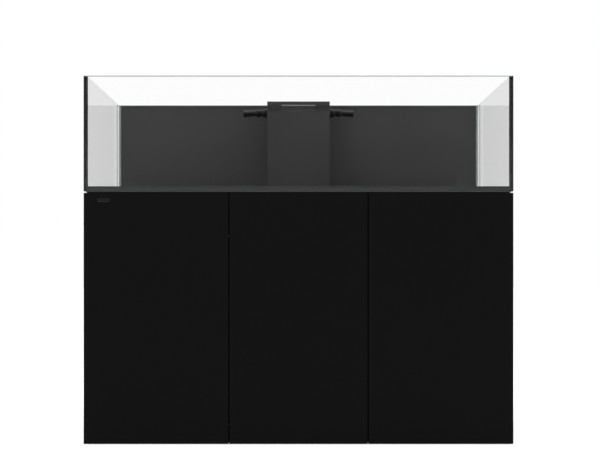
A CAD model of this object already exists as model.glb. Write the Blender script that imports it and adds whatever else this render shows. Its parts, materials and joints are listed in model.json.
import bpy
import bmesh
import json
import math
from mathutils import Matrix, Vector, noise


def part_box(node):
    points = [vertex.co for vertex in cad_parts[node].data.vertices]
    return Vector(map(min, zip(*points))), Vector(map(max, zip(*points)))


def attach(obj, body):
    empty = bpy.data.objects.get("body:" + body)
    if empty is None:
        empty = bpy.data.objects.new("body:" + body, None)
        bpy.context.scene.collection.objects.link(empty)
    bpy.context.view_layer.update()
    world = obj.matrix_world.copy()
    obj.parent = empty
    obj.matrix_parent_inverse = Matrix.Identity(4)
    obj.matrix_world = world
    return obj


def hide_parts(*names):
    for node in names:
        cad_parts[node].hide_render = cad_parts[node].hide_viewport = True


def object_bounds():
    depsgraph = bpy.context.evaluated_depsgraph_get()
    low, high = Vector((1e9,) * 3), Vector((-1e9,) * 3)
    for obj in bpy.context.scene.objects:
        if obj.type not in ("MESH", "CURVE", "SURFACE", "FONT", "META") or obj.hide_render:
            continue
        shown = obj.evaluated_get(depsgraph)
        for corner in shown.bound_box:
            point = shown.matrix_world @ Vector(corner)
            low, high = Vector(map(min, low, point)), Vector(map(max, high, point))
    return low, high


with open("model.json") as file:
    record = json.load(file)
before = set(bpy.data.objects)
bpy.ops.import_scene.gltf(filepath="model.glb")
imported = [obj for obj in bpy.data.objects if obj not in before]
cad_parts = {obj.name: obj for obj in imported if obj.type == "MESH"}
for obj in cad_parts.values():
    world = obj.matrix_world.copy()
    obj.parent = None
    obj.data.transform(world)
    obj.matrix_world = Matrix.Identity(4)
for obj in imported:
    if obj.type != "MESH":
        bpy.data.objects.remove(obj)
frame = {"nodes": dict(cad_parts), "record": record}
cadLow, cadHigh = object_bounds()
nodes = frame["nodes"]
slotOf = {row["node"]: row["material_slot"] for row in frame["record"]["subparts"]}
scene = bpy.context.scene
print("frame loaded:", len(nodes), "nodes")

# a level camera, straight on

cameraSet = {"distance": 3.762, "height": 0.615, "lens": 64.7, "sensor": 36.0,
             "shiftX": 0.0025, "shiftY": 0.0562}


def addCamera(s):
    data = bpy.data.cameras.new("camera")
    data.lens = s["lens"]
    data.sensor_width = s["sensor"]
    data.shift_x = s["shiftX"]
    data.shift_y = s["shiftY"]
    data.clip_end = 60
    camera = bpy.data.objects.new("camera", data)
    camera.location = (0, cadLow.y - s["distance"], s["height"])
    camera.rotation_euler = (math.radians(90), 0, 0)
    scene.collection.objects.link(camera)
    scene.camera = camera


addCamera(cameraSet)
print("camera placed")


class Wire:
    # a socket that can be used in a sum
    def __init__(self, finish, socket):
        self.finish = finish
        self.socket = socket

    def sum(self, operation, other, swapped=False):
        pair = [other, self] if swapped else [self, other]
        return self.finish.node("ShaderNodeMath", {"operation": operation}, dict(enumerate(pair)))

    def __add__(self, other):
        return self.sum("ADD", other)

    __radd__ = __add__

    def __mul__(self, other):
        return self.sum("MULTIPLY", other)

    __rmul__ = __mul__

    def __sub__(self, other):
        return self.sum("SUBTRACT", other)

    def __rsub__(self, other):
        return self.sum("SUBTRACT", other, swapped=True)

    def __gt__(self, other):
        return self.sum("GREATER_THAN", other)

    def shaded(self, dark, light):
        return self.finish.shades(self, dark, light)


class Finish:
    # one material and the nodes in it
    def __init__(self, name):
        self.material = bpy.data.materials.new(name)
        self.material.use_nodes = True
        self.tree = self.material.node_tree
        self.tree.nodes.clear()
        self.place = self.node("ShaderNodeTexCoord", output="Object")

    def node(self, kind, settings=None, values=None, output=0):
        made = self.tree.nodes.new(kind)
        for key, value in (settings or {}).items():
            if key == "stops":
                ramp = made.color_ramp.elements
                while len(ramp) < len(value):
                    ramp.new(0.5)
                for stop, (at, grey) in zip(ramp, value):
                    stop.position = at
                    stop.color = (grey, grey, grey, 1)
            else:
                setattr(made, key, value)
        for key, value in (values or {}).items():
            if isinstance(value, Wire):
                self.tree.links.new(value.socket, made.inputs[key])
            else:
                made.inputs[key].default_value = value
        return Wire(self, made.outputs[output])

    def grain(self, scale, detail=4.0, rough=0.55, stretch=(1, 1, 1)):
        spot = self.node("ShaderNodeMapping", {}, {"Vector": self.place, "Scale": stretch})
        values = {"Vector": spot, "Scale": scale, "Detail": detail, "Roughness": rough}
        return self.node("ShaderNodeTexNoise", {}, values)

    def cells(self, scale):
        values = {"Vector": self.place, "Scale": scale}
        return self.node("ShaderNodeTexVoronoi", {}, values)

    def ramp(self, value, *stops):
        return self.node("ShaderNodeValToRGB", {"stops": stops}, {"Fac": value})

    def shades(self, mask, dark, light):
        colours = {"Factor": mask, 6: (*dark, 1), 7: (*light, 1)}
        return self.node("ShaderNodeMix", {"data_type": "RGBA"}, colours, output=2)

    def bump(self, height, depth):
        return self.node("ShaderNodeBump", {}, {"Height": height, "Distance": depth, "Strength": 1.0})

    def skin(self, **values):
        inputs = {key.replace("_", " "): value for key, value in values.items()}
        return self.node("ShaderNodeBsdfPrincipled", {}, inputs)

    def done(self, shader):
        out = self.tree.nodes.new("ShaderNodeOutputMaterial")
        self.tree.links.new(shader.socket, out.inputs["Surface"])
        return self.material


# pale floor, white air and three soft boxes

studioSet = {"air": 1.0, "front": 0.10, "frontEdge": -0.72, "floorSize": 60, "glow": 0.30,
             "floorDark": (0.92, 0.92, 0.92), "floorLight": (0.93, 0.93, 0.93)}


def addFloor(s):
    bm = bmesh.new()
    bmesh.ops.create_grid(bm, x_segments=1, y_segments=1, size=s["floorSize"] / 2)
    mesh = bpy.data.meshes.new("floor")
    bm.to_mesh(mesh)
    bm.free()
    floor = bpy.data.objects.new("floor", mesh)
    scene.collection.objects.link(floor)
    paint = Finish("floor")
    tone = paint.grain(3.0, detail=2).shaded(s["floorDark"], s["floorLight"])
    shader = paint.skin(Base_Color=tone, Roughness=0.85, Specular_IOR_Level=0.1,
                        Emission_Color=(1, 1, 1, 1), Emission_Strength=s["glow"])
    mesh.materials.append(paint.done(shader))


def lightAir(s):
    # white all round, but dim straight in front, so that the glass has little to mirror
    world = bpy.data.worlds.new("air")
    world.use_nodes = True
    tree = world.node_tree
    tree.nodes.clear()
    way = tree.nodes.new("ShaderNodeTexCoord")
    split = tree.nodes.new("ShaderNodeSeparateXYZ")
    fade = tree.nodes.new("ShaderNodeMapRange")
    fade.inputs["From Min"].default_value = -1.0
    fade.inputs["From Max"].default_value = s["frontEdge"]
    fade.inputs["To Min"].default_value = s["front"]
    fade.inputs["To Max"].default_value = s["air"]
    sky = tree.nodes.new("ShaderNodeBackground")
    plain = tree.nodes.new("ShaderNodeBackground")
    seen = tree.nodes.new("ShaderNodeLightPath")
    pick = tree.nodes.new("ShaderNodeMixShader")
    out = tree.nodes.new("ShaderNodeOutputWorld")
    tree.links.new(way.outputs["Generated"], split.inputs[0])
    tree.links.new(split.outputs["Y"], fade.inputs["Value"])
    tree.links.new(fade.outputs[0], sky.inputs["Strength"])
    tree.links.new(seen.outputs["Is Camera Ray"], pick.inputs[0])
    tree.links.new(sky.outputs[0], pick.inputs[1])
    tree.links.new(plain.outputs[0], pick.inputs[2])
    tree.links.new(pick.outputs[0], out.inputs["Surface"])
    for lamp in (sky, plain):
        lamp.inputs["Color"].default_value = (1, 1, 1, 1)
    scene.world = world


softBoxes = [
    {"at": (0.0, -0.6, 3.4), "aim": (0, 0, 0.8), "size": (3.2, 2.2), "power": 60},
    {"at": (-2.6, -2.4, 2.4), "aim": (0, 0, 0.7), "size": (1.6, 2.2), "power": 18},
    {"at": (2.8, -1.8, 2.0), "aim": (0, 0, 0.7), "size": (1.4, 2.2), "power": 12},
]


def addSoftBox(s):
    data = bpy.data.lights.new("softBox", "AREA")
    data.shape = "RECTANGLE"
    data.size, data.size_y = s["size"]
    data.energy = s["power"]
    lamp = bpy.data.objects.new("softBox", data)
    lamp.location = s["at"]
    lamp.rotation_euler = (Vector(s["aim"]) - Vector(s["at"])).to_track_quat("-Z", "Y").to_euler()
    scene.collection.objects.link(lamp)


scene.view_settings.view_transform = "Standard"
addFloor(studioSet)
lightAir(studioSet)
for box in softBoxes:
    addSoftBox(box)
print("floor, air and soft boxes ready")

laminateSet = {"dark": (0.0022, 0.0022, 0.0023), "light": (0.0030, 0.0030, 0.0031), "rough": (0.52, 0.64)}


def blackLaminate(s):
    f = Finish("blackLaminate")
    cloud = f.grain(2.2, detail=3)
    tooth = f.grain(900, detail=2)
    smear = f.grain(7, detail=5, stretch=(1, 1, 0.4))
    tone = f.shades(cloud, s["dark"], s["light"])
    rough = smear * (s["rough"][1] - s["rough"][0]) + s["rough"][0] + tooth * 0.05
    return f.done(f.skin(Base_Color=tone, Roughness=rough, Specular_IOR_Level=0.05,
                         Normal=f.bump(tooth, 0.00006)))


# the panes: clear, mirror more at a slant, and grey-green on their polished edges
# thin is the axis across the pane, sheen how bright its mirror is, cover how solid its edges look;
# the sump's panes face every way, so theirs have rimTop instead, the height of their polished top edges
paneGlass = {"tint": (0.995, 0.998, 0.996), "edge": (0.20, 0.25, 0.24), "cover": 0.72, "least": 0.012,
             "most": 0.55, "sheen": 1.0, "endsDark": False, "turned": 0.4, "smear": (0.012, 0.012, 0.012)}
glassSets = {
    "frontGlass": {**paneGlass, "thin": 1, "edge": (0.10, 0.13, 0.125), "cover": 0.92, "endsDark": True},
    "backGlass": {**paneGlass, "thin": 1},
    "endGlass": {**paneGlass, "thin": 0, "sheen": 0.20, "cover": 0.22},
    "baseGlass": {**paneGlass, "thin": 2},
    "sumpGlass": {**paneGlass, "thin": None, "sheen": 0.6, "rimTop": 0.0015},
}
paneGlassOf = {"front_pane": "frontGlass", "back_pane": "backGlass", "left_pane": "endGlass",
               "right_pane": "endGlass", "floor_pane": "baseGlass", "sump_panes": "sumpGlass",
               "sump_baffles": "endGlass"}


def clearGlass(name, s):
    f = Finish(name)
    smudge = f.grain(5, detail=6, rough=0.65)
    slant = f.node("ShaderNodeLayerWeight", {}, {"Blend": 0.5}, output="Facing")
    glance = slant * slant * slant * slant * slant * s["most"] + s["least"]
    facing = f.node("ShaderNodeNewGeometry", output="True Normal")
    if s["thin"] is None:
        height = f.node("ShaderNodeSeparateXYZ", {}, {"Vector": f.place}, output="Z")
        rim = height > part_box("sump_panes")[1].z - s["rimTop"]
    else:
        across = f.node("ShaderNodeSeparateXYZ", {}, {"Vector": facing}, output=s["thin"])
        rim = (1 - across * across) > s["turned"]
    clear = f.node("ShaderNodeBsdfTransparent", {}, {"Color": (*s["tint"], 1)})
    mirror = f.skin(Base_Color=(s["sheen"], s["sheen"], s["sheen"], 1), Metallic=1.0,
                    Roughness=smudge * 0.02 + 0.01)
    face = f.node("ShaderNodeMixShader", {}, {0: glance, 1: clear, 2: mirror})
    polished = f.skin(Base_Color=(*s["edge"], 1), Roughness=smudge * 0.1 + 0.08)
    through = f.node("ShaderNodeMixShader", {}, {0: s["cover"], 1: clear, 2: polished})
    shader = f.node("ShaderNodeMixShader", {}, {0: rim, 1: face, 2: through})
    if s["endsDark"]:
        # the ends of the front pane are smeared with the corner silicone
        endways = f.node("ShaderNodeSeparateXYZ", {}, {"Vector": facing}, output="X")
        smear = f.skin(Base_Color=(*s["smear"], 1), Roughness=smudge * 0.2 + 0.3)
        isEnd = endways * endways > s["turned"]
        shader = f.node("ShaderNodeMixShader", {}, {0: isEnd, 1: shader, 2: smear})
    return f.done(shader)


plainSets = {
    "black_silicone": {"dark": 0.010, "light": 0.016, "rough": (0.28, 0.42), "scale": 60, "depth": 0.00025},
    "black_film": {"dark": 0.0208, "light": 0.0240, "rough": (0.30, 0.40), "scale": 40, "depth": 0.00004},
    "black_acrylic": {"dark": 0.027, "light": 0.031, "rough": (0.16, 0.28), "scale": 90, "depth": 0.00003},
    "black_pvc": {"dark": 0.003, "light": 0.006, "rough": (0.20, 0.30), "scale": 260, "depth": 0.00006,
                  "shine": 0.14},
    "grey_pvc": {"dark": 0.085, "light": 0.105, "rough": (0.34, 0.50), "scale": 240, "depth": 0.00008},
    "latch_plastic": {"dark": 0.16, "light": 0.20, "rough": (0.38, 0.50), "scale": 400, "depth": 0.00006},
    "red_plastic": {"dark": 0.20, "light": 0.26, "rough": (0.36, 0.48), "scale": 300, "depth": 0.00008,
                    "hue": (1, 0.07, 0.05)},
    "sock_plastic": {"dark": 0.62, "light": 0.72, "rough": (0.34, 0.46), "scale": 300, "depth": 0.00005},
    "clear_rubber": {"dark": 0.45, "light": 0.55, "rough": (0.25, 0.35), "scale": 300, "depth": 0.00003},
}


def plainFinish(name, s):
    f = Finish(name)
    fine = f.grain(s["scale"], detail=4)
    broad = f.grain(s["scale"] / 14, detail=4, rough=0.6)
    hue = s.get("hue", (1, 1, 1))
    dark = [s["dark"] * part for part in hue]
    light = [s["light"] * part for part in hue]
    low, high = s["rough"]
    return f.done(f.skin(Base_Color=f.shades(broad, dark, light), Roughness=broad * (high - low) + low,
                         Specular_IOR_Level=s.get("shine", 0.5), Normal=f.bump(fine, s["depth"])))


# brushed along one axis: stretch draws the lines out that way
metalSets = {
    "hinge_steel": {"colour": (0.60, 0.60, 0.61), "rough": 0.20, "stretch": (1, 1, 0.05)},
    "badge_metal": {"colour": (0.020, 0.020, 0.021), "rough": 0.18, "stretch": (0.03, 1, 1)},
}


def brushedMetal(name, s):
    f = Finish(name)
    lines = f.grain(300, detail=3, stretch=s["stretch"])
    dull = f.grain(14, detail=5)
    tone = f.shades(lines, [part * 0.88 for part in s["colour"]], s["colour"])
    return f.done(f.skin(Base_Color=tone, Metallic=1.0, Roughness=lines * 0.12 + dull * 0.1 + s["rough"],
                         Normal=f.bump(lines, 0.00004)))


# the silicone round the floor: pressed flat on the glass below, a darker bead above it, a paler lip on top
sealSet = {"pressed": 0.027, "shade": 0.011, "lip": 0.022, "rough": 0.36}


def floorSealFinish(s):
    low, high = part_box("floor_seal")
    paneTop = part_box("floor_pane")[1].z
    f = Finish("floor_seal")
    height = f.node("ShaderNodeSeparateXYZ", {}, {"Vector": f.place}, output="Z")
    rise = (height - low.z) * (1 / (high.z - low.z))
    bond = (paneTop - low.z) / (high.z - low.z)
    tone = f.ramp(rise, (bond - 0.02, s["pressed"]), (bond + 0.01, s["shade"]),
                  (bond + 0.19, s["shade"]), (bond + 0.24, s["lip"]))
    ripple = f.grain(55, detail=3)
    return f.done(f.skin(Base_Color=tone, Roughness=ripple * 0.1 + s["rough"],
                         Normal=f.bump(ripple, 0.0002)))


# closed-cell foam: small pits, and a skin that is a little rougher between them
foamSet = {"dark": (0.006, 0.006, 0.006), "light": (0.011, 0.011, 0.012), "cell": 900, "depth": 0.00035}


def foamFinish(s):
    f = Finish("foam")
    pits = f.cells(s["cell"])
    mottle = f.grain(25, detail=5)
    tone = f.shades(mottle, s["dark"], s["light"])
    return f.done(f.skin(Base_Color=tone, Roughness=pits * 0.2 + 0.72, Specular_IOR_Level=0.2,
                         Normal=f.bump(pits, s["depth"])))


# needled felt: short fibres each way, with a faint blotchy stain
feltSet = {"dark": (0.60, 0.57, 0.50), "light": (0.86, 0.85, 0.81), "depth": 0.0005}


def feltFinish(s):
    f = Finish("felt")
    along = f.grain(260, detail=5, stretch=(1, 1, 0.25))
    across = f.grain(300, detail=5, stretch=(0.3, 0.3, 1))
    fibres = along * 0.5 + across * 0.5
    stain = f.grain(9, detail=4)
    tone = f.shades(f.ramp(stain * 0.6 + fibres * 0.4, (0.25, 0.0), (0.62, 1.0)), s["dark"], s["light"])
    return f.done(f.skin(Base_Color=tone, Roughness=fibres * 0.1 + 0.88, Specular_IOR_Level=0.15,
                         Sheen_Weight=0.4, Normal=f.bump(fibres, s["depth"])))


finishes = {name: plainFinish(name, s) for name, s in plainSets.items()}
finishes["black_laminate"] = blackLaminate(laminateSet)
finishes["foam"] = foamFinish(foamSet)
finishes["felt"] = feltFinish(feltSet)
for name, metal in metalSets.items():
    finishes[name] = brushedMetal(name, metal)
glasses = {name: clearGlass(name, s) for name, s in glassSets.items()}
floorSeal = floorSealFinish(sealSet)
for name, part in nodes.items():
    coat = glasses[paneGlassOf[name]] if name in paneGlassOf else finishes[slotOf[name]]
    if name == "floor_seal":
        coat = floorSeal
    for place in part.material_slots:
        place.material = coat
print("finishes on", len(nodes), "nodes")


# new pieces are made in place, and each rides on a body
def addPiece(name, bm, coat, body, crease=35):
    bmesh.ops.recalc_face_normals(bm, faces=bm.faces)
    mesh = bpy.data.meshes.new(name)
    bm.to_mesh(mesh)
    bm.free()
    mesh.shade_smooth()
    mesh.set_sharp_from_angle(angle=math.radians(crease))
    mesh.materials.append(coat)
    piece = bpy.data.objects.new(name, mesh)
    scene.collection.objects.link(piece)
    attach(piece, body)
    return piece


def lathe(profile, centre, steps, closed=True, sweep=math.tau, start=0.0):
    # turn a line of (radius, height) points round the upright through centre
    bm = bmesh.new()
    turn = Matrix.Rotation(start, 3, "Z")
    verts = [bm.verts.new(Vector((centre.x, centre.y, z)) + turn @ Vector((r, 0, 0))) for r, z in profile]
    edges = [bm.edges.new(pair) for pair in zip(verts, verts[1:])]
    if closed:
        edges.append(bm.edges.new((verts[-1], verts[0])))
    bmesh.ops.spin(bm, geom=verts + edges, cent=centre, axis=(0, 0, 1), dvec=(0, 0, 0), angle=sweep,
                   steps=steps, use_merge=sweep == math.tau)
    bmesh.ops.remove_doubles(bm, verts=bm.verts, dist=1e-6)
    return bm


def extruded(bm, faces, shift):
    # pull faces out, leave the old ones behind, and give back the new ones
    grown = bmesh.ops.extrude_face_region(bm, geom=faces)["geom"]
    verts = [item for item in grown if isinstance(item, bmesh.types.BMVert)]
    bmesh.ops.translate(bm, verts=verts, vec=shift)
    return [item for item in grown if isinstance(item, bmesh.types.BMFace)]


def cutLevels(bm, cuts):
    # divide every upright edge, all the way round
    uprights = [edge for edge in bm.edges if abs(edge.verts[0].co.z - edge.verts[1].co.z) > 1e-6]
    bmesh.ops.subdivide_edges(bm, edges=uprights, cuts=cuts, use_grid_fill=True)


def dropped(bm, shape):
    # add a copy of one bmesh to another
    mesh = bpy.data.meshes.new("shape")
    shape.to_mesh(mesh)
    bm.from_mesh(mesh)
    bpy.data.meshes.remove(mesh)
    shape.free()


# foam mats under the tank and under the sump, cut by hand, squeezed flat with a soft bulged edge
matSet = {"bulge": 0.0007, "wander": 0.0004, "waves": 14, "pitch": 0.04, "fill": 0.9, "levels": 3,
          "edge": 0.002, "openX": (-0.130, 0.130), "openY": (0.205, 0.330)}


def foamSheet(name, xs, ys, zs, opening, s):
    bm = bmesh.new()
    bmesh.ops.create_grid(bm, x_segments=len(xs) - 1, y_segments=len(ys) - 1, size=1)
    for v in bm.verts:
        v.co.x = xs[round((v.co.x + 1) / 2 * (len(xs) - 1))]
        v.co.y = ys[round((v.co.y + 1) / 2 * (len(ys) - 1))]
        v.co.z = zs[0]
    if opening:
        (left, right), (near, far) = opening
        middles = {face: face.calc_center_median() for face in bm.faces}
        hole = [face for face, at in middles.items() if left < at.x < right and near < at.y < far]
        bmesh.ops.delete(bm, geom=hole, context="FACES")
    thickness = zs[1] - zs[0]
    extruded(bm, list(bm.faces), (0, 0, thickness))
    cutLevels(bm, s["levels"])
    for v in bm.verts:
        up = (v.co.z - zs[0]) / thickness * 2 - 1
        if abs(up) < 0.999:
            out = Vector((v.normal.x, v.normal.y, 0))
            v.co += out * s["bulge"] * (1 - up * up)
        spot = Vector((v.co.x * s["waves"], v.co.y * s["waves"], 3.0))
        wave = noise.noise(spot) * s["wander"]
        if min(abs(v.co.y - ys[0]), abs(v.co.y - ys[-1])) < s["edge"]:
            v.co.y += wave if v.co.y > 0 else abs(wave)
        if abs(abs(v.co.x) - xs[-1]) < s["edge"]:
            v.co.x += wave
    return addPiece(name, bm, finishes["foam"], "stand_and_tank", crease=60)


def evenly(low, high, pitch, stops=()):
    # places from low to high about a pitch apart, with some that must be there
    marks = [low, *stops, high]
    places = []
    for a, b in zip(marks, marks[1:]):
        count = max(1, round((b - a) / pitch))
        places += [a + (b - a) * i / count for i in range(count)]
    return places + [high]


def addMats(s):
    low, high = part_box("foam_mats")
    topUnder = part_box("worktop_panel")[1].z
    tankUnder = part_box("front_pane")[0].z
    tankMat = foamSheet("tankMat", evenly(low.x, high.x, s["pitch"], s["openX"]),
                        evenly(low.y, high.y, s["pitch"], s["openY"]), (topUnder, tankUnder),
                        (s["openX"], s["openY"]), s)
    sumpLow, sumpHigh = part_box("sump_panes")
    sumpMat = foamSheet("sumpMat", evenly(sumpLow.x, sumpHigh.x, s["pitch"]),
                        evenly(sumpLow.y, sumpHigh.y, s["pitch"]),
                        (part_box("floor_panel")[1].z, sumpLow.z), None, s)
    for mat in (tankMat, sumpMat):
        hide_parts("foam_mats")


addMats(matSet)
print("foam mats laid")

# tooled silicone in the upright corners: a hollow bead inside each, and a dark bond at the front two
beadSet = {"front": 0.0011, "back": 0.0042, "bond": 0.0009, "steps": 8, "pitch": 0.018, "wander": 0.0003}


def cornerBead(corner, inward, along, size, levels, s):
    # a bead against two panes: corner is where they meet, inward and along point away from it
    bm = bmesh.new()
    line = [corner + Vector((inward * size * (1 - math.sin(a)), along * size * (1 - math.cos(a)), 0))
            for a in (math.radians(90) * i / s["steps"] for i in range(s["steps"] + 1))]
    verts = [bm.verts.new(point) for point in [corner, *line]]
    bm.faces.new(verts)
    height = levels[1] - levels[0]
    extruded(bm, list(bm.faces), (0, 0, height))
    cutLevels(bm, max(1, round(height / s["pitch"])))
    for v in bm.verts:
        away = Vector((v.co.x - corner.x, v.co.y - corner.y, 0))
        if away.length > 1e-6:
            ripple = noise.noise(Vector((corner.x, corner.y * 5, v.co.z * 30)))
            v.co += away.normalized() * s["wander"] * ripple
    return bm


def addCornerBeads(s):
    left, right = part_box("left_pane"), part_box("right_pane")
    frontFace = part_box("front_pane")[1].y
    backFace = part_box("back_pane")[0].y
    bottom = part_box("floor_seal")[1].z
    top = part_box("corner_seals")[1].z
    bm = bmesh.new()
    for wall, inward in ((left[1].x, 1), (right[0].x, -1)):
        for face, along, size in ((frontFace, 1, s["front"]), (backFace, -1, s["back"])):
            corner = Vector((wall, face, bottom))
            dropped(bm, cornerBead(corner, inward, along, size, (bottom, top), s))
    for outer, inner in ((left[0].x, left[1].x), (right[0].x, right[1].x)):
        bond = bmesh.new()
        bmesh.ops.create_cube(bond, size=1)
        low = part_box("floor_pane")[0].z + s["bond"]
        bmesh.ops.scale(bond, verts=bond.verts, vec=(inner - outer, s["bond"], top - low))
        bmesh.ops.translate(bond, verts=bond.verts,
                            vec=((inner + outer) / 2, frontFace + s["bond"] / 2, (top + low) / 2))
        bmesh.ops.bevel(bond, geom=bond.edges, offset=s["bond"] * 0.3, offset_type="OFFSET",
                        affect="EDGES", segments=2, profile=0.5, material=-1)
        dropped(bm, bond)
    beads = addPiece("cornerBeads", bm, finishes["black_silicone"], "stand_and_tank",
                     crease=60)
    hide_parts("corner_seals")


addCornerBeads(beadSet)
print("corner silicone tooled")

# filter socks: a felt bag that hangs in soft folds from a moulded ring, with a taped seam down one side
sockSet = {"felt": 0.0024, "seamTurn": math.radians(200), "seamWide": math.radians(8),
           "seamThick": 0.0014, "seamProud": 0.0007, "toe": 0.026, "steps": 72,
           "sideRows": 22, "toeRows": 10, "underRows": 5, "hangFrom": 0.004, "belowCollar": 0.0006,
           "tapeSteps": 4, "inRing": 0.0012}
ringSet = {"flange": 0.0072, "wall": 0.0038, "collar": 0.016, "seat": 0.0003,
           "footIn": 0.0004, "footUp": 0.0006, "flangeEase": 0.0008, "rimDown": 0.0018,
           "rimIn": 0.0014, "rimTop": 0.0004, "dipOut": 0.0012, "dipDown": 0.0014,
           "lipOut": 0.0010, "lipIn": 0.0004, "lipTop": 0.0006, "lipDown": 0.002}
# each wave: how many go round, how deep, where it starts and how far it twists down the bag
foldSet = {"depth": 0.0042, "middle": 0.5, "waves": ((5, 0.28, 1.3, 1.0), (8, 0.22, 0.0, 2.2)),
           "waveShare": 0.8, "sagShare": 0.3, "fullest": 0.8, "most": 0.6,
           "sagScale": (1.5, 20, 14), "hem": 0.002, "hemScale": 30}


def sockLine(radius, top, bottom, s):
    # half of the bag's outline: straight down its side, round its toe and in to the middle below
    toe = s["toe"]
    flat = radius - toe
    side = [(radius, top - (top - bottom - toe) * i / s["sideRows"]) for i in range(s["sideRows"] + 1)]
    bends = [math.radians(90) * i / s["toeRows"] for i in range(1, s["toeRows"] + 1)]
    side += [(flat + toe * math.cos(a), bottom + toe - toe * math.sin(a)) for a in bends]
    under = [(flat * (1 - i / s["underRows"]), bottom) for i in range(1, s["underRows"] + 1)]
    return side, under


def fold(bm, centre, top, bottom, s):
    # draw the cloth in towards the upright through centre, not at its top and most below its middle
    turnScale, sockScale, heightScale = s["sagScale"]
    for v in bm.verts:
        out = Vector((v.co.x - centre.x, v.co.y - centre.y, 0))
        if out.length > 1e-5:
            turn = math.atan2(out.y, out.x)
            hang = min(1.0, max(0.0, (top - v.co.z) / (top - bottom)))
            wave = s["middle"] + sum(deep * math.sin(count * turn + start + twist * hang)
                                     for count, deep, start, twist in s["waves"])
            spot = Vector((turn * turnScale, centre.y * sockScale, v.co.z * heightScale))
            sag = 0.4 + 0.6 * noise.noise(spot)
            share = max(0.0, wave * s["waveShare"] + sag * s["sagShare"])
            pull = s["depth"] * math.sin(math.pi * hang * s["fullest"]) * share
            v.co -= out.normalized() * min(pull, out.length * s["most"])
            v.co.z += s["hem"] * hang * noise.noise(v.co * s["hemScale"])


def ringLine(flange, plateTop, top, s):
    # the moulded ring's section: a collar below the plate, a flange on it, and a rolled inner lip
    neck = flange - s["flange"]
    inner = neck - s["wall"]
    seat = plateTop + s["seat"]
    foot = seat - s["collar"]
    collar = [(inner, foot), (neck - s["footIn"], foot), (neck, foot + s["footUp"]), (neck, seat)]
    edge = [(flange - s["flangeEase"], seat), (flange, seat + s["flangeEase"]),
            (flange, top - s["rimDown"]), (flange - s["rimIn"], top - s["rimTop"])]
    lip = [(neck + s["dipOut"], top - s["dipDown"]), (neck - s["lipOut"], top),
           (inner + s["lipIn"], top - s["lipTop"]), (inner, top - s["lipDown"])]
    return collar + edge + lip


def addSock(name, body, node, s, folds):
    low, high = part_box(node)
    centre = Vector(((low.x + high.x) / 2, (low.y + high.y) / 2, 0))
    outline = ringLine((high.x - low.x) / 2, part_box("sock_plate")[1].z, high.z, ringSet)
    ring = addPiece(name + "Ring", lathe(outline, centre, s["steps"]), finishes["sock_plastic"], body)
    foot = outline[0][1]
    bagRadius = outline[2][0] - s["inRing"]
    top = foot + s["hangFrom"]
    side, under = sockLine(bagRadius, foot - s["belowCollar"], low.z, s)
    cloth = lathe(side + under, centre, s["steps"], closed=False)
    fold(cloth, centre, top, low.z, folds)
    bag = addPiece(name + "Bag", cloth, finishes["felt"], body, crease=80)
    # the tape stops one row short of the flat underside
    tapeLine = [(r + s["seamProud"], z) for r, z in side[:-1]]
    tape = lathe(tapeLine, centre, s["tapeSteps"], closed=False, sweep=s["seamWide"], start=s["seamTurn"])
    fold(tape, centre, top, low.z, folds)
    seam = addPiece(name + "Seam", tape, finishes["felt"], body, crease=80)
    for piece, thickness in ((bag, s["felt"]), (seam, s["seamThick"])):
        wall = piece.modifiers.new("wall", "SOLIDIFY")
        wall.thickness = thickness
        wall.offset = -1
    for piece in (bag, ring, seam):
        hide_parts(node)
    girth = math.tau * bagRadius
    length = foot - low.z
    length + bagRadius
    girth * (length - s["toe"]) + math.pi * bagRadius ** 2


addSock("frontSock", "front_sock", "filter_sock_front", sockSet, foldSet)
addSock("rearSock", "rear_sock", "filter_sock_rear", sockSet, foldSet)
print("filter socks hung")

# the plain maker's plate, a long oval that is domed so that its upper half takes the light
badgeSet = {"rise": 0.0026, "rings": 7, "segments": 64}


def addBadge(s):
    low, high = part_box("badge_plate")
    half = (high.z - low.z) / 2
    stretch = (high.x - low.x) / 2 - half
    bm = bmesh.new()
    bmesh.ops.create_circle(bm, cap_ends=True, radius=half, segments=s["segments"])
    for v in bm.verts:
        v.co.x += math.copysign(stretch, v.co.x)
    dome = extruded(bm, list(bm.faces), (0, 0, high.y - low.y))
    step = 1 / (s["rings"] + 1)
    level = 0.0
    for ring in range(1, s["rings"] + 1):
        bmesh.ops.inset_region(bm, faces=dome, thickness=half * step, depth=0, use_even_offset=True)
        lift = s["rise"] * math.sqrt(1 - (1 - ring * step) ** 2)
        verts = list({v for face in dome for v in face.verts})
        bmesh.ops.translate(bm, verts=verts, vec=(0, 0, lift - level))
        level = lift
    upright = Matrix.Rotation(math.radians(90), 3, "X")
    bmesh.ops.rotate(bm, verts=bm.verts, cent=(0, 0, 0), matrix=upright)
    bmesh.ops.translate(bm, verts=bm.verts, vec=((low.x + high.x) / 2, high.y, (low.z + high.z) / 2))
    badge = addPiece("badge", bm, finishes["badge_metal"], "left_leaf", crease=50)
    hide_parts("badge_plate")


addBadge(badgeSet)
print("badge set in the left door")

# pan-head screws with a cross recess, and soft door bumpers
screwSet = {"radius": 0.0038, "height": 0.0012, "recess": 0.0008, "rim": 0.25, "shoulder": 0.15,
            "cross": 0.6, "segments": 16}


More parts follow.
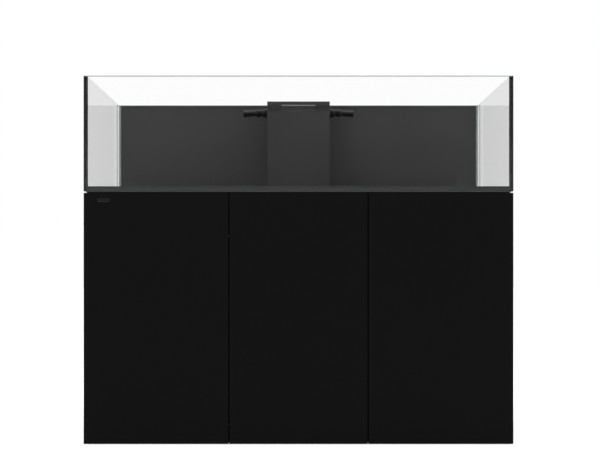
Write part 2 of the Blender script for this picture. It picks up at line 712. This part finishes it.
def screwHead(at, way, s):
    bm = bmesh.new()
    bmesh.ops.create_circle(bm, cap_ends=True, radius=s["radius"], segments=s["segments"])
    top = extruded(bm, list(bm.faces), (0, 0, s["height"] * 0.5))
    bmesh.ops.inset_region(bm, faces=top, thickness=s["radius"] * s["rim"], depth=0)
    bmesh.ops.translate(bm, verts=list(top[0].verts), vec=(0, 0, s["height"] * 0.5))
    bmesh.ops.inset_region(bm, faces=top, thickness=s["radius"] * s["shoulder"], depth=0)
    for v in top[0].verts:
        arm = 1 - s["cross"] * abs(math.sin(2 * math.atan2(v.co.y, v.co.x)))
        v.co.x *= arm
        v.co.y *= arm
    extruded(bm, top, (0, 0, -s["recess"]))
    bmesh.ops.delete(bm, geom=[face for face in top if face.is_valid], context="FACES_ONLY")
    turn = Vector((0, 0, 1)).rotation_difference(Vector(way)).to_matrix()
    bmesh.ops.rotate(bm, verts=bm.verts, cent=(0, 0, 0), matrix=turn)
    bmesh.ops.translate(bm, verts=bm.verts, vec=at)
    return bm


def addScrews(name, places, coat, body, s):
    bm = bmesh.new()
    for at, way in places:
        dropped(bm, screwHead(at, way, s))
    return addPiece(name, bm, coat, body, crease=40)


# hinge screws: two in the ears of each cup and two in each mounting plate, placed from the pin and the cups
joints = {joint["name"]: joint for joint in frame["record"]["behaviour"]["joints"]}
leafSide = {"left": 1, "middle": 1, "right": -1}
hingeSet = {"ear": 0.030, "cupIn": 0.0125, "earUp": 0.0245, "sideIn": 0.010, "dividerIn": -0.0005,
            "plate": 0.003, "plateDeep": 0.022, "plateUp": 0.0195}


def addDoorScrews(s, h):
    steel = finishes["hinge_steel"]
    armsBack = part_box("hinge_arms")[1].y
    plates = []
    for leaf, inward in leafSide.items():
        cupLow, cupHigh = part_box(leaf + "_hinge_cups")
        pin = joints[leaf + "_door_swing"]["pos_m"]
        heights = (cupLow.z + h["ear"], pin[2], cupHigh.z - h["ear"])
        cupX = pin[0] + inward * h["cupIn"]
        ears = [((cupX, cupHigh.y, z + up), (0, 1, 0)) for z in heights for up in (-h["earUp"], h["earUp"])]
        addScrews(leaf + "CupScrews", ears, steel, leaf + "_leaf", s)
        wallIn = h["dividerIn"] if leaf == "middle" else h["sideIn"]
        plateX = pin[0] + inward * (wallIn + h["plate"])
        plates += [((plateX, armsBack - h["plateDeep"], z + up), (inward, 0, 0))
                   for z in heights for up in (-h["plateUp"], h["plateUp"])]
    addScrews("plateScrews", plates, steel, "stand_and_tank", s)


backScrewSet = {"pitch": 0.19, "fromSide": 0.010, "fromSeam": 0.004, "fromEnd": 0.02}


def addBackScrews(s, b):
    low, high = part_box("back_panels")
    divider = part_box("divider_panel")
    lines = (low.x + b["fromSide"], divider[0].x + b["fromSeam"], divider[1].x - b["fromSeam"],
             high.x - b["fromSide"])
    heights = evenly(low.z + b["fromEnd"], high.z - b["fromEnd"], b["pitch"])
    heads = [((x, high.y, z), (0, 1, 0)) for x in lines for z in heights]
    addScrews("backScrews", heads, finishes["hinge_steel"], "stand_and_tank", s)


bumperSet = {"radius": 0.0045, "height": 0.0022, "fromDivider": 0.005, "fromPost": 0.014, "up": 0.04,
             "down": 0.05}


def bumperDome(at, s):
    dome = bmesh.new()
    bmesh.ops.create_uvsphere(dome, u_segments=20, v_segments=12, radius=s["radius"])
    bmesh.ops.bisect_plane(dome, geom=dome.verts[:] + dome.edges[:] + dome.faces[:], plane_co=(0, 0, 0),
                           plane_no=(0, 0, 1), clear_inner=True)
    bmesh.ops.holes_fill(dome, edges=[edge for edge in dome.edges if edge.is_boundary], sides=0)
    bmesh.ops.scale(dome, verts=dome.verts, vec=(1, 1, s["height"] / s["radius"]))
    upright = Matrix.Rotation(math.radians(90), 3, "X")
    bmesh.ops.rotate(dome, verts=dome.verts, cent=(0, 0, 0), matrix=upright)
    bmesh.ops.translate(dome, verts=dome.verts, vec=at)
    return dome


def addBumpers(s):
    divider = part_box("divider_panel")
    low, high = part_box("front_post")
    bm = bmesh.new()
    for x in (divider[0].x + s["fromDivider"], low.x + s["fromPost"], high.x - s["fromPost"]):
        for z in (low.z + s["up"], high.z - s["down"]):
            dropped(bm, bumperDome((x, low.y, z), s))
    addPiece("bumpers", bm, finishes["clear_rubber"], "stand_and_tank", crease=60)


addDoorScrews(screwSet, hingeSet)
addBackScrews(screwSet, backScrewSet)
addBumpers(bumperSet)
print("screws and bumpers fitted")
